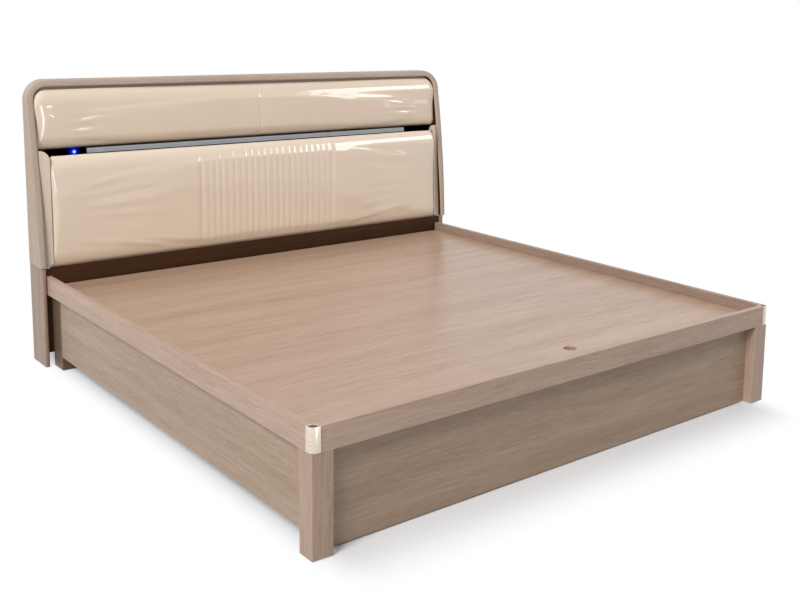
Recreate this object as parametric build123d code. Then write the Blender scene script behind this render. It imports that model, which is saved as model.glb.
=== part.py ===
# Storage bed: a boarded box with a lifting deck on gas struts, and an upholstered headboard
# Millimetres. X across the bed, -Y to the foot, +Y to the headboard, +Z up, floor at Z = 0
from build123d import *
from math import atan2, cos, degrees, radians, sin, sqrt
import os

os.makedirs("parts", exist_ok=True)

# Whole bed
box_width = 1900
total_length = 2032.5
headboard_height = 1097
apron_top = 356

# Aprons and their corner caps
apron_height = 70
apron_thickness = 20
edge_radius = 1.5
cap_front_reach = 25
cap_side_reach = 26
cap_proud = 2.5
cap_corner_radius = 18
cap_rim = 2.5
cap_dish_depth = 3

# Legs, panels and glides of the box
foot_leg_width = 64
foot_leg_depth = 63
panel_thickness = 18
foot_panel_recess = 36
foot_panel_floor_gap = 4
side_panel_floor_gap = 55
glide_height = 3
glide_radius = 18
post_width = 60
post_depth = 87
post_height = 270

# Deck and the steel frame under it
deck_recess = 36
deck_thickness = 15
deck_side_gap = 2
deck_foot_gap = 2
deck_head_gap = 10
seat_gap = 0.3
finger_hole_radius = 21
finger_hole_x = 104
finger_hole_from_foot = 153
deck_tube_width = 20
deck_tube_height = 30
deck_tube_wall = 2
deck_tube_inset = 70
deck_tube_foot_inset = 68
deck_tube_tail = 25
cross_tube_count = 3

# Lifting gear
deck_open_angle = 30
pivot_inset = 52
pivot_drop = 13
pivot_pin_radius = 5
pin_clearance = 0.05
pin_head_radius = 9
pin_head_height = 4
side_play = 0.3
bracket_thickness = 4
bracket_foot_width = 60
bracket_foot_height = 105
bracket_foot_bottom = 150
bracket_eye_radius = 12
strut_closed = 195
strut_stroke = 130
strut_offset = 13
strut_body_radius = 10
strut_bore_radius = 8
strut_rod_radius = 4
strut_gland_clearance = 0.3
strut_piston_clearance = 0.3
strut_body_start = 12
strut_body_end = 175
strut_gland_length = 10
strut_floor_length = 8
strut_piston_length = 10
strut_piston_gap = 1
strut_eye_radius = 9
strut_eye_thickness = 8
strut_stud_radius = 4
stud_shoulder_radius = 7
stud_head_radius = 6
stud_head_height = 2
stud_play = 0.5
anchor_plate_length = 70
anchor_plate_width = 40
anchor_plate_thickness = 3

# Storage box inside
cleat_width = 25
cleat_height = 30
floor_thickness = 9
floor_batten_size = 20
divider_top_gap = 7
end_panel_top_gap = 3
centre_foot_radius = 20
centre_foot_flange_radius = 28
centre_foot_flange_height = 4
centre_foot_count = 3

# Screws and bolts
screw_radius = 2.5
screw_head_radius = 5
screw_head_height = 2.5
screw_clearance = 0.05
screw_bite = 9
bracket_screw_bite = 25
screw_rows = 4
bracket_screw_shares = ((0.25, 0.2), (0.75, 0.2), (0.5, 0.75))
bolt_radius = 4
bolt_head_radius = 7
bolt_head_height = 5
bolt_bite = 50
bolt_inset = 40
bolt_low = 110
bolt_high = 230

# Headboard legs, posts and lower panel
head_leg_thickness = 16
head_leg_gap = 2
head_leg_depth = 139
head_leg_edge_radius = 6
head_glide_radius = 7
head_glide_inset = 20
head_panel_depth = 123.5
head_panel_top_gap = 2
seam_rise = 36

# Headboard frame
frame_thickness = 24
rail_thickness = 27
frame_overhang = 8
frame_corner_radius = 80
frame_depth_bottom = 143
frame_depth_middle = 112
frame_depth_top = 58
frame_edge_radius = 5
back_panel_thickness = 9
back_panel_recess = 9
back_fit = 0.3

# Rails and boards inside the headboard
lower_rail_height = 60
middle_rail_height = 42
upper_batten_height = 50
upper_batten_drop = 110
lower_board_thickness = 12
lower_board_lap = 20
upper_board_thickness = 12
upper_board_depth = 40.5

# Cushions
upper_gap_top = 10
upper_gap_side = 7
upper_cushion_height = 226
upper_cushion_thickness = 45
upper_cushion_corner_radius = 44
upper_cushion_edge_radius = 14
upper_cushion_crown = 6
upper_half_rise = 6
slot_height = 23
lower_cushion_drop = 8
lower_cushion_proud = 11
lower_cushion_thickness = 45
lower_cushion_roll_radius = 26
lower_cushion_crown = 6
lower_cushion_ledge = 4
lower_cushion_ledge_drop = 10
cushion_draw = 3
cushion_end_radius = 6
cushion_side_play = 1
rib_count = 21
ribbed_width = 640
rib_rise = 5
cheek_width = 29
cheek_gap = 3
cheek_low_gap = 4
cheek_top_gap = 2
cheek_set_back = 2
cheek_slant = 4
cheek_corner_radius = 22

# Level sections of the cushions: turns round the rolled edges, and shares of the height between
roll_angles = (0, 20, 40, 60, 90)
crown_shares = (0.2, 0.35, 0.5, 0.65, 0.8)
corner_shares = (0.6, 1)
least_rise_share = 0.1

# Light slot and switch
channel_thickness = 4
bar_height = 18
bar_depth = 12
bar_lift = 8
bar_end_gap = 160
diffuser_height = 8
diffuser_depth = 3
diffuser_play = 0.2
switch_inset = 110
switch_rise = 15
bezel_radius = 12
bezel_thickness = 3
bezel_barrel_radius = 10
bezel_barrel_length = 18
bezel_floor = 4
button_radius = 8.2
button_play = 0.3
button_proud = 2
button_gap = 4
lens_radius = 6
lens_thickness = 1

# Cuts run past the faces that they open by this much
overrun = 5

# Levels worked out from the sizes above
half = box_width / 2
back_face = total_length / 2
foot_face = cap_proud - back_face
apron_bottom = apron_top - apron_height
seam_height = apron_top + seam_rise
lower_bottom = seam_height - lower_cushion_drop
deck_top = apron_top - deck_recess
deck_bottom = deck_top - deck_thickness
support_top = deck_bottom - seat_gap
deck_tube_bottom = deck_bottom - deck_tube_height
inner_side = half - apron_thickness
panel_inner = inner_side - panel_thickness
leg_inner = half - foot_leg_width
foot_inner = foot_face + apron_thickness
leg_back = foot_face + foot_leg_depth
foot_panel_front = foot_face + foot_panel_recess
foot_panel_back = foot_panel_front + panel_thickness
head_panel_front = back_face - head_panel_depth
head_panel_back = head_panel_front + panel_thickness
post_front = head_panel_front - post_depth
post_inner = inner_side - post_width
end_panel_front = post_front - panel_thickness
head_leg_inner = half + head_leg_gap
head_leg_outer = head_leg_inner + head_leg_thickness
frame_outer = head_leg_outer + frame_overhang
frame_inner = frame_outer - frame_thickness
frame_inner_top = headboard_height - rail_thickness
frame_inner_radius = frame_corner_radius - rail_thickness
back_panel_back = back_face - back_panel_recess
back_panel_front = back_panel_back - back_panel_thickness
deck_side = inner_side - deck_side_gap
deck_foot = foot_inner + deck_foot_gap
deck_head = head_panel_front - deck_head_gap
pivot_y = deck_head - pivot_inset
pivot_z = deck_bottom - pivot_drop
tube_outer = deck_side - deck_tube_inset
tube_inner = tube_outer - deck_tube_width
strut_x = tube_outer + strut_offset


def span(x_limits, y_limits, z_limits):
    """A board between a low and a high limit on each axis."""
    size = [high - low for low, high in (x_limits, y_limits, z_limits)]
    middle = [(high + low) / 2 for low, high in (x_limits, y_limits, z_limits)]
    return Pos(*middle) * Box(*size)


def rod_x(radius, x_from, x_to, y, z):
    """A round bar along X."""
    return Pos((x_from + x_to) / 2, y, z) * Rot(0, 90, 0) * Cylinder(radius, abs(x_to - x_from))


def rod_y(radius, x, y_from, y_to, z):
    """A round bar along Y."""
    return Pos(x, (y_from + y_to) / 2, z) * Rot(90, 0, 0) * Cylinder(radius, abs(y_to - y_from))


def rod_z(radius, x, y, z_from, z_to):
    """A round bar along Z."""
    return Pos(x, y, (z_from + z_to) / 2) * Cylinder(radius, abs(z_to - z_from))


def other_side(shape):
    """The same piece on the other side of the bed."""
    return mirror(shape, about=Plane.YZ)


def save(name, *solids):
    """Writes one node, made of one solid or of a group of separate ones."""
    group = solids[0] if len(solids) == 1 else Compound(children=list(solids))
    export_step(group, f"parts/{name}.step")


def save_pair(name, left):
    """Writes a left-hand piece and its mirror image as two nodes."""
    save(f"{name}_left", left)
    save(f"{name}_right", other_side(left))


def long_edges(shape, axis):
    """The straight edges of a board that run along one axis."""
    return shape.edges().filter_by(axis)


# Foot apron and side aprons, butted behind the corner caps
cap_inner = half - cap_front_reach
foot_apron = span((-cap_inner, cap_inner), (foot_face, foot_inner), (apron_bottom, apron_top))
foot_apron = fillet(long_edges(foot_apron, Axis.X).group_by(Axis.Z)[-1], edge_radius)
save("foot_apron", foot_apron)

side_apron = span(
    (-half, -inner_side), (foot_face + cap_side_reach, head_panel_front), (apron_bottom, apron_top)
)
side_apron = fillet(long_edges(side_apron, Axis.Y).group_by(Axis.Z)[-1], edge_radius)
save_pair("side_apron", side_apron)

# Corner caps: an angle of cast metal, rounded at the corner and dished on top
cap_front = foot_face - cap_proud
cap_outer = half + cap_proud
cap_back = foot_face + cap_side_reach
cap = span((-cap_outer, -cap_inner), (cap_front, cap_back), (apron_bottom, apron_top))
cap_corner = cap.edges().filter_by(Axis.Z).sort_by(Axis.X).group_by(Axis.X)[0].sort_by(Axis.Y)[0]
cap = fillet(cap_corner, cap_corner_radius)
dish = span((-cap_outer + cap_rim, -cap_inner - cap_rim), (cap_front + cap_rim, cap_back - cap_rim),
            (apron_top - cap_dish_depth, apron_top + overrun))
dish_corner = dish.edges().filter_by(Axis.Z).group_by(Axis.X)[0].sort_by(Axis.Y)[0]
dish = fillet(dish_corner, cap_corner_radius - cap_rim)
inner_notch = span((-inner_side, -cap_inner + overrun), (foot_inner, cap_back + overrun),
                   (apron_bottom - overrun, apron_top + overrun))
dish_notch = span((-inner_side - cap_rim, -cap_inner + overrun),
                  (foot_inner - cap_rim, cap_back + overrun),
                  (apron_bottom - overrun, apron_top + overrun))
save_pair("corner_cap", cap - inner_notch - (dish - dish_notch))

# Foot legs: square posts under the apron corners
foot_leg = span((-half, -leg_inner), (foot_face, leg_back), (glide_height, apron_bottom))
foot_leg = fillet(long_edges(foot_leg, Axis.Z), edge_radius)
save_pair("foot_leg", foot_leg)

# Panels under the aprons
save("foot_panel", span((-leg_inner, leg_inner), (foot_panel_front, foot_panel_back),
                        (foot_panel_floor_gap, support_top)))
side_panel = span((-inner_side, -panel_inner), (leg_back, post_front),
                  (side_panel_floor_gap, support_top))

# Packing between the foot apron and its panel, and blocks on top of the legs
save("foot_packing", span((-leg_inner, leg_inner), (foot_inner, foot_panel_front),
                          (apron_bottom, support_top)))
corner_block = span((-inner_side, -leg_inner), (foot_inner, leg_back), (apron_bottom, support_top))
save("corner_blocks", corner_block, other_side(corner_block))

# Cleats that carry the closed deck
cleat_bottom = support_top - cleat_height
side_cleat = span((-panel_inner, -panel_inner + cleat_width), (leg_back, end_panel_front),
                  (cleat_bottom, support_top))
save("side_cleats", side_cleat, other_side(side_cleat))
save("foot_cleat", span((-leg_inner, leg_inner), (foot_panel_back, foot_panel_back + cleat_width),
                        (cleat_bottom, support_top)))

# End panel and centre divider of the storage box
divider_half = panel_thickness / 2
floor_bottom = side_panel_floor_gap + floor_batten_size
floor_top = floor_bottom + floor_thickness
divider_top = deck_tube_bottom - divider_top_gap
divider_bottom = floor_bottom - panel_thickness
save("box_end_panel", span((-panel_inner, panel_inner), (end_panel_front, post_front),
                           (side_panel_floor_gap, deck_tube_bottom - end_panel_top_gap)))
save("centre_divider", span((-divider_half, divider_half), (foot_panel_back, end_panel_front),
                            (divider_bottom, divider_top)))
divider_batten = span((-divider_half - floor_batten_size, -divider_half),
                      (foot_panel_back, end_panel_front), (divider_bottom, floor_bottom))
save("divider_battens", divider_batten, other_side(divider_batten))

# Floor boards, notched around the foot legs, on battens along the side panels
floor_batten = span((-panel_inner, -panel_inner + floor_batten_size), (leg_back, end_panel_front),
                    (side_panel_floor_gap, floor_bottom))
save("floor_battens", floor_batten, other_side(floor_batten))
floor_board = span((-panel_inner, -divider_half), (foot_panel_back, end_panel_front),
                   (floor_bottom, floor_top))
leg_notch = span((-half, -leg_inner), (foot_face, leg_back), (floor_bottom - overrun, apron_bottom))
save_pair("floor_board", floor_board - leg_notch)

# Plastic feet under the divider
foot_pitch = (end_panel_front - foot_panel_back) / (centre_foot_count + 1)
centre_feet = []
for index in range(centre_foot_count):
    foot_y = foot_panel_back + foot_pitch * (index + 1)
    stem = rod_z(centre_foot_radius, 0, foot_y, 0, divider_bottom)
    flange = rod_z(centre_foot_flange_radius, 0, foot_y, divider_bottom - centre_foot_flange_height,
                   divider_bottom)
    centre_feet.append(stem + flange)
save("centre_feet", *centre_feet)

# Dark posts at the head end of the box, bolted to the lower panel of the headboard
bolt_x = post_inner + bolt_inset


def head_bolts(radius, y_from, y_to):
    """The two round bars of one radius where the bolts of the left post run."""
    return [rod_y(radius, -bolt_x, y_from, y_to, z) for z in (bolt_low, bolt_high)]


head_post = span((-inner_side, -post_inner), (post_front, head_panel_front), (glide_height, post_height))
for hole in head_bolts(bolt_radius + screw_clearance, head_panel_front - bolt_bite, head_panel_front):
    head_post -= hole

# Plates that carry the deck's pivot pins, screwed to the inner faces of the posts
plate_outer = post_inner
plate_inner = post_inner - bracket_thickness
bracket_back = pivot_y - bracket_eye_radius + bracket_foot_width
bracket_front = pivot_y - bracket_eye_radius
bracket_foot_top = bracket_foot_bottom + bracket_foot_height
with BuildPart() as bracket_build:
    with BuildSketch(Plane.YZ.offset(-plate_outer)):
        with BuildLine():
            Polyline(
                (bracket_front, bracket_foot_bottom),
                (bracket_back, bracket_foot_bottom),
                (bracket_back, bracket_foot_top),
                (pivot_y + bracket_eye_radius, pivot_z - bracket_eye_radius / 2),
                (pivot_y + bracket_eye_radius, pivot_z),
                (bracket_front, pivot_z),
                close=True,
            )
        make_face()
        with Locations((pivot_y, pivot_z)):
            Circle(bracket_eye_radius)
    extrude(amount=bracket_thickness)
bracket = bracket_build.part - rod_x(pivot_pin_radius + pin_clearance, -plate_outer - overrun,
                                     -plate_inner + overrun, pivot_y, pivot_z)
bracket_screw_places = [
    (bracket_front + bracket_foot_width * share_y, bracket_foot_bottom + bracket_foot_height * share_z)
    for share_y, share_z in bracket_screw_shares
]
bracket_screws = []
for y, z in bracket_screw_places:
    hole = rod_x(screw_radius + screw_clearance, -plate_outer - bracket_screw_bite,
                 -plate_inner + overrun, y, z)
    bracket -= hole
    head_post -= hole
    shank = rod_x(screw_radius, -plate_outer - bracket_screw_bite, -plate_inner, y, z)
    bracket_screws.append(shank + rod_x(screw_head_radius, -plate_inner,
                                        -plate_inner + screw_head_height, y, z))
save_pair("head_post", head_post)
save("pivot_brackets", bracket, other_side(bracket))

# Pivot pins, with a collar that spaces the deck tube from the plate
pin_end = tube_inner - side_play
pin = rod_x(pivot_pin_radius, -plate_outer, -pin_end + pin_head_height, pivot_y, pivot_z)
collar = rod_x(pin_head_radius, -plate_inner, -tube_outer - side_play, pivot_y, pivot_z)
pin_head = rod_x(pin_head_radius, -pin_end, -pin_end + pin_head_height, pivot_y, pivot_z)
pivot_pin = pin + collar + pin_head
save("pivot_pins", pivot_pin, other_side(pivot_pin))

# Strut geometry: both anchors lie on one circle about the pivot, so that the strut turns through
# half of the deck's angle. The circle follows from the closed length, the stroke and the angle
closed_share = strut_closed / (strut_closed + strut_stroke)
half_lift = radians(deck_open_angle) / 2
half_closed = atan2(closed_share * sin(half_lift), 1 - closed_share * cos(half_lift))
link_radius = strut_closed / (2 * sin(half_closed))
upper_y = pivot_y - link_radius
upper_z = pivot_z
lower_y = pivot_y - link_radius * cos(2 * half_closed)
lower_z = pivot_z - link_radius * sin(2 * half_closed)


def save_strut_piece(name, shape):
    """Turns a piece built up the Z axis into the line of the closed strut on each side."""
    for side, x in (("left", -strut_x), ("right", strut_x)):
        save(f"{name}_{side}", Pos(x, lower_y, lower_z) * Rot(degrees(half_closed), 0, 0) * shape)


def eye(height):
    """The flat eye at one end of the strut."""
    return rod_x(strut_eye_radius, -strut_eye_thickness / 2, strut_eye_thickness / 2, 0, height)


def eye_bore(height):
    """The bore of an eye, a running fit on its stud."""
    return rod_x(strut_stud_radius + pin_clearance, -strut_eye_thickness, strut_eye_thickness, 0, height)


# Strut bodies, hinged to the box, and rods, hinged to the deck
cavity_start = strut_body_start + strut_floor_length
cavity_end = strut_body_end - strut_gland_length
strut_body = rod_z(strut_body_radius, 0, 0, strut_body_start, strut_body_end)
strut_body += rod_z(strut_rod_radius, 0, 0, 0, strut_body_start) + eye(0)
strut_body -= rod_z(strut_bore_radius, 0, 0, cavity_start, cavity_end)
strut_body -= rod_z(strut_rod_radius + strut_gland_clearance, 0, 0, cavity_start,
                    strut_body_end + overrun)
strut_body -= eye_bore(0)
save_strut_piece("strut_tube", strut_body)

piston_start = cavity_start + strut_piston_gap
strut_rod = rod_z(strut_rod_radius, 0, 0, piston_start, strut_closed)
strut_rod += rod_z(strut_bore_radius - strut_piston_clearance, 0, 0, piston_start,
                   piston_start + strut_piston_length)
strut_rod += eye(strut_closed)
strut_rod -= eye_bore(strut_closed)
save_strut_piece("strut_rod", strut_rod)

# Anchors of the struts on the side panels: a plate with a shouldered stud
eye_near = strut_x - strut_eye_thickness / 2
eye_far = strut_x + strut_eye_thickness / 2
plate_face = panel_inner - anchor_plate_thickness
anchor = span((-panel_inner, -plate_face),
              (lower_y - anchor_plate_length / 2, lower_y + anchor_plate_length / 2),
              (lower_z - anchor_plate_width / 2, lower_z + anchor_plate_width / 2))
anchor += rod_x(stud_shoulder_radius, -plate_face, -eye_far - stud_play, lower_y, lower_z)
anchor += rod_x(strut_stud_radius, -plate_face, -eye_near + stud_play, lower_y, lower_z)
anchor += rod_x(stud_head_radius, -eye_near + stud_play, -eye_near + stud_play + stud_head_height,
                lower_y, lower_z)
anchor_screw_reach = anchor_plate_length / 2 - screw_head_radius - edge_radius
for y in (lower_y - anchor_screw_reach, lower_y + anchor_screw_reach):
    bite = panel_thickness - edge_radius
    hole = rod_x(screw_radius + screw_clearance, -panel_inner - bite, -plate_face + overrun, y, lower_z)
    anchor -= hole
    side_panel -= hole
    shank = rod_x(screw_radius, -panel_inner - bite, -plate_face, y, lower_z)
    bracket_screws.append(shank + rod_x(screw_head_radius, -plate_face,
                                        -plate_face + screw_head_height, y, lower_z))
save("strut_anchors", anchor, other_side(anchor))
save("bracket_screws", *bracket_screws, *[other_side(screw) for screw in bracket_screws])
save_pair("side_panel", side_panel)

# Steel frame under the deck
tube_foot = deck_foot + deck_tube_foot_inset
tube_head = pivot_y + deck_tube_tail
tube_middle_x = (tube_outer + tube_inner) / 2
tube_end_panel_clear = end_panel_front - deck_tube_width
side_tube = span((-tube_outer, -tube_inner), (tube_foot, tube_head), (deck_tube_bottom, deck_bottom))
side_tube -= span((-tube_outer + deck_tube_wall, -tube_inner - deck_tube_wall),
                  (tube_foot - overrun, tube_head + overrun),
                  (deck_tube_bottom + deck_tube_wall, deck_bottom - deck_tube_wall))
side_tube -= rod_x(pivot_pin_radius + pin_clearance, -tube_outer - overrun, -tube_inner + overrun,
                   pivot_y, pivot_z)

cross_pitch = (tube_end_panel_clear - tube_foot - deck_tube_width) / (cross_tube_count - 1)
cross_tubes = []
for index in range(cross_tube_count):
    low_y = tube_foot + cross_pitch * index
    high_y = low_y + deck_tube_width
    tube = span((-tube_inner, tube_inner), (low_y, high_y), (deck_tube_bottom, deck_bottom))
    tube -= span((-tube_inner - overrun, tube_inner + overrun),
                 (low_y + deck_tube_wall, high_y - deck_tube_wall),
                 (deck_tube_bottom + deck_tube_wall, deck_bottom - deck_tube_wall))
    cross_tubes.append(tube)

# Deck board with its finger hole, screwed down through the steel tubes
deck = span((-deck_side, deck_side), (deck_foot, deck_head), (deck_bottom, deck_top))
finger_y = foot_face + finger_hole_from_foot
deck -= rod_z(finger_hole_radius, finger_hole_x, finger_y, deck_bottom - overrun, deck_top + overrun)
hole_edges = deck.edges().filter_by(GeomType.CIRCLE).group_by(Axis.Z)[-1]
deck = fillet(hole_edges, edge_radius)

deck_screws = []
screw_top = deck_bottom + screw_bite
screw_pitch = (upper_y - tube_foot) / screw_rows
screw_places = [(tube_middle_x, tube_foot + screw_pitch * (row + 0.5)) for row in range(screw_rows)]
for x, y in screw_places:
    hole = rod_z(screw_radius + screw_clearance, -x, y, deck_tube_bottom - overrun, screw_top)
    side_tube -= hole
    deck = deck - hole - other_side(hole)
    shank = rod_z(screw_radius, -x, y, deck_tube_bottom, screw_top)
    screw = shank + rod_z(screw_head_radius, -x, y, deck_tube_bottom - screw_head_height,
                          deck_tube_bottom)
    deck_screws += [screw, other_side(screw)]
save("deck_board", deck)
save("deck_screws", *deck_screws)
save("deck_side_tubes", side_tube, other_side(side_tube))
save("deck_cross_tubes", *cross_tubes)

# Studs on the deck tubes that carry the strut rods
deck_stud = rod_x(stud_shoulder_radius, -tube_outer, -eye_near + stud_play, upper_y, upper_z)
deck_stud += rod_x(strut_stud_radius, -tube_outer, -eye_far - stud_play, upper_y, upper_z)
deck_stud += rod_x(stud_head_radius, -eye_far - stud_play, -eye_far - stud_play - stud_head_height,
                   upper_y, upper_z)
save("deck_studs", deck_stud, other_side(deck_stud))

# Lower panel of the headboard, between the two headboard legs
head_panel = span((-head_leg_inner, head_leg_inner), (head_panel_front, head_panel_back),
                  (side_panel_floor_gap, lower_bottom - head_panel_top_gap))
bed_bolts = []
for hole in head_bolts(bolt_radius + screw_clearance, head_panel_front - overrun,
                       head_panel_back + overrun):
    head_panel = head_panel - hole - other_side(hole)
for z in (bolt_low, bolt_high):
    shank = rod_y(bolt_radius, -bolt_x, head_panel_front - bolt_bite, head_panel_back, z)
    head = rod_y(bolt_head_radius, -bolt_x, head_panel_back, head_panel_back + bolt_head_height, z)
    bed_bolts += [shank + head, other_side(shank + head)]
save("head_panel", head_panel)
save("bed_bolts", *bed_bolts)

# Headboard legs: upright boards outside the box, with a rounded front
head_leg_front = back_face - head_leg_depth
head_leg = span((-head_leg_outer, -head_leg_inner), (head_leg_front, back_face),
                (glide_height, seam_height))
head_leg = fillet(long_edges(head_leg, Axis.Z).group_by(Axis.Y)[0], head_leg_edge_radius)
save_pair("head_leg", head_leg)

# Glides under the legs and the posts
leg_middle_x = half - foot_leg_width / 2
head_leg_middle_x = (head_leg_inner + head_leg_outer) / 2
post_middle_x = (inner_side + post_inner) / 2
glide_places = [
    (leg_middle_x, foot_face + foot_leg_depth / 2, glide_radius),
    (post_middle_x, post_front + post_depth / 2, glide_radius),
    (head_leg_middle_x, head_leg_front + head_glide_inset, head_glide_radius),
    (head_leg_middle_x, back_face - head_glide_inset, head_glide_radius),
]
glides = []
for x, y, radius in glide_places:
    glide = rod_z(radius, -x, y, 0, glide_height)
    glides += [glide, other_side(glide)]
save("leg_glides", *glides)


def rounded_front(outer_x, low, high, top_radius, low_radius):
    """An upright outline, rounded by one radius at the top corners and another at the bottom."""
    with BuildSketch(Plane.XZ) as outline:
        with Locations((0, (low + high) / 2)):
            Rectangle(2 * outer_x, high - low)
        corners = outline.vertices().group_by(Axis.Z)
        fillet(corners[-1], top_radius)
        if low_radius:
            fillet(corners[0], low_radius)
    return outline.sketch


# Headboard frame: a band with round corners, cut by a side profile that is deeper at the bottom
middle_height = (seam_height + headboard_height) / 2
front_bottom = back_face - frame_depth_bottom
front_middle = back_face - frame_depth_middle
front_top = back_face - frame_depth_top
with BuildPart() as side_profile:
    with BuildSketch(Plane.YZ.offset(-frame_outer - overrun)):
        with BuildLine():
            ThreePointArc((front_bottom, seam_height), (front_middle, middle_height),
                          (front_top, headboard_height))
            Line((front_top, headboard_height), (back_face, headboard_height))
            Line((back_face, headboard_height), (back_face, seam_height))
            Line((back_face, seam_height), (front_bottom, seam_height))
        make_face()
    extrude(amount=2 * (frame_outer + overrun))

outer_outline = rounded_front(frame_outer, seam_height, headboard_height, frame_corner_radius, 0)
inner_outline = rounded_front(frame_inner, seam_height - overrun, frame_inner_top, frame_inner_radius, 0)
band_reach = frame_depth_bottom + overrun
band = Pos(0, back_face, 0) * extrude(outer_outline - inner_outline, amount=band_reach)
frame = band & side_profile.part
frame_split = headboard_height - frame_corner_radius
side_zone = span((-frame_outer, -frame_inner), (front_bottom - overrun, back_face + overrun),
                 (seam_height, frame_split))
top_zone = span((-frame_outer - overrun, frame_outer + overrun),
                (front_bottom - overrun, back_face + overrun),
                (frame_split, headboard_height + overrun))


frame_side = side_profile.part & side_zone
bowed_edges = [edge for edge in frame_side.edges() if edge.bounding_box().size.Z > frame_corner_radius
               and edge.center().Y < back_face - frame_depth_top]
save_pair("headboard_side", fillet(bowed_edges, frame_edge_radius))
top_rail = frame & top_zone
front_face = top_rail.faces().sort_by(Axis.Y)[0]
rail_edges = [edge for edge in front_face.edges() if edge.bounding_box().max.Z > frame_split + overrun]
save("headboard_top_rail", fillet(rail_edges, frame_edge_radius))

# Back panel and the rails between it and the cushion boards
back_side = frame_inner - back_fit
back_outline = rounded_front(back_side, seam_height + back_fit, frame_inner_top - back_fit,
                             frame_inner_radius - back_fit, 0)
save("headboard_back_panel", Pos(0, back_panel_back, 0) * extrude(back_outline,
                                                                  amount=back_panel_thickness))
upper_bottom = frame_inner_top - upper_gap_top - upper_cushion_height
upper_top = frame_inner_top - upper_gap_top
lower_top = upper_bottom - slot_height
ledge_top = lower_top - lower_cushion_ledge_drop
lower_front = head_panel_front - lower_cushion_proud
lower_board_front = lower_front + lower_cushion_thickness
lower_board_back = lower_board_front + lower_board_thickness
upper_board_front = back_face - upper_board_depth
upper_board_back = upper_board_front + upper_board_thickness
save("lower_rail", span((-frame_inner, frame_inner), (lower_board_back, back_panel_front),
                        (seam_height, seam_height + lower_rail_height)))
save("middle_rail", span((-frame_inner, frame_inner), (lower_board_back, back_panel_front),
                         (ledge_top - middle_rail_height, ledge_top)))
batten_top = frame_inner_top - upper_batten_drop
save("upper_batten", span((-frame_inner, frame_inner), (upper_board_back, back_panel_front),
                          (batten_top - upper_batten_height, batten_top)))

# Boards that carry the cushions
cheek_outer = frame_inner - cheek_gap
unit_side = cheek_outer - cheek_width
save("lower_cushion_board", span((-unit_side, unit_side), (lower_board_front, lower_board_back),
                                 (seam_height - lower_board_lap, ledge_top)))
upper_board_outline = rounded_front(back_side, upper_bottom, frame_inner_top - back_fit,
                                    frame_inner_radius - back_fit, 0)
save("upper_cushion_board", Pos(0, upper_board_back, 0) * extrude(upper_board_outline,
                                                                  amount=upper_board_thickness))

# Cushions are lofted through level sections. Each has a straight back, drawn-in ends and one arc
# from joint to joint along the front; the ends round off above and below, and the front is crowned


def rounding(distance, radius):
    """How far a round edge lies back from the full width, at a distance from the end."""
    reach = max(radius - distance, 0)
    return radius - sqrt(radius ** 2 - reach ** 2)


def pad_heights(low, high, roll, corner):
    """Heights of the sections of a cushion, close together where its edges roll."""
    steps = [roll * (1 - cos(radians(angle))) for angle in roll_angles]
    heights = {low + step for step in steps} | {high - step for step in steps}
    heights |= {low + (high - low) * share for share in crown_shares}
    heights |= {high - corner * share for share in corner_shares if corner * share > roll}
    return sorted(heights)


def pad_section(z, low, high, front, back, joints, crown, roll, low_corner, high_corner, rise):
    """One level section of a cushion."""
    middle = (low + high) / 2
    rolled = rounding(min(z - low, high - z), roll)
    crest = front + rolled + crown * ((z - middle) / (high - middle)) ** 2
    seam = crest + rise * max(1 - rolled / roll, least_rise_share)
    inset = rounding(z - low, low_corner) + rounding(high - z, high_corner)
    joints = [joints[0] + inset, *joints[1:-1], joints[-1] - inset]
    left, right = joints[0], joints[-1]
    waist = (back + seam) / 2
    with BuildSketch(Plane.XY.offset(z)) as section:
        with BuildLine():
            for start, end in zip(joints[:-1], joints[1:]):
                ThreePointArc((start, seam), ((start + end) / 2, crest), (end, seam))
            ThreePointArc((right, seam), (right - cushion_draw, waist), (right, back))
            Line((right, back), (left, back))
            ThreePointArc((left, back), (left + cushion_draw, waist), (left, seam))
        make_face()
    return section.sketch


def pad(low, high, front, back, joints, crown, roll, low_corner, high_corner, rise):
    """A whole cushion between two heights."""
    heights = pad_heights(low, high, roll, high_corner)
    return loft([pad_section(z, low, high, front, back, joints, crown, roll, low_corner,
                             high_corner, rise) for z in heights], ruled=True)


# Lower cushion: two plain panels with a row of ribs between, and a step for the light slot
pad_side = unit_side - cushion_side_play
ribbed_half = ribbed_width / 2
rib_width = ribbed_width / rib_count
rib_joints = [-ribbed_half + rib_width * index for index in range(rib_count + 1)]
lower_cushion = pad(lower_bottom, lower_top, lower_front, lower_board_front,
                    [-pad_side, *rib_joints, pad_side], lower_cushion_crown,
                    lower_cushion_roll_radius, cushion_end_radius, cushion_end_radius, rib_rise)
ledge_front = lower_front + lower_cushion_roll_radius + lower_cushion_ledge
lower_cushion -= span((-unit_side - overrun, unit_side + overrun),
                      (ledge_front, lower_board_front + overrun), (ledge_top, lower_top + overrun))
save("lower_cushion", lower_cushion)

# Wooden cheeks at both ends of the lower cushion, rounded at the corners next to it. They reach
# up to the upper cushion, and so close the ends of the light slot
cheek_front = lower_front + cheek_set_back
cheek_bottom = seam_height + cheek_low_gap
cheek_height = upper_bottom - cheek_top_gap - cheek_bottom
cheek_plan = Polygon((-unit_side, lower_board_back), (-cheek_outer, lower_board_back),
                     (-cheek_outer, cheek_front + cheek_slant), (-unit_side, cheek_front), align=None)
cheek = Pos(0, 0, cheek_bottom) * extrude(cheek_plan, amount=cheek_height)
cheek = fillet(long_edges(cheek, Axis.Y).group_by(Axis.X)[-1], cheek_corner_radius)
save_pair("cheek", cheek)

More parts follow.
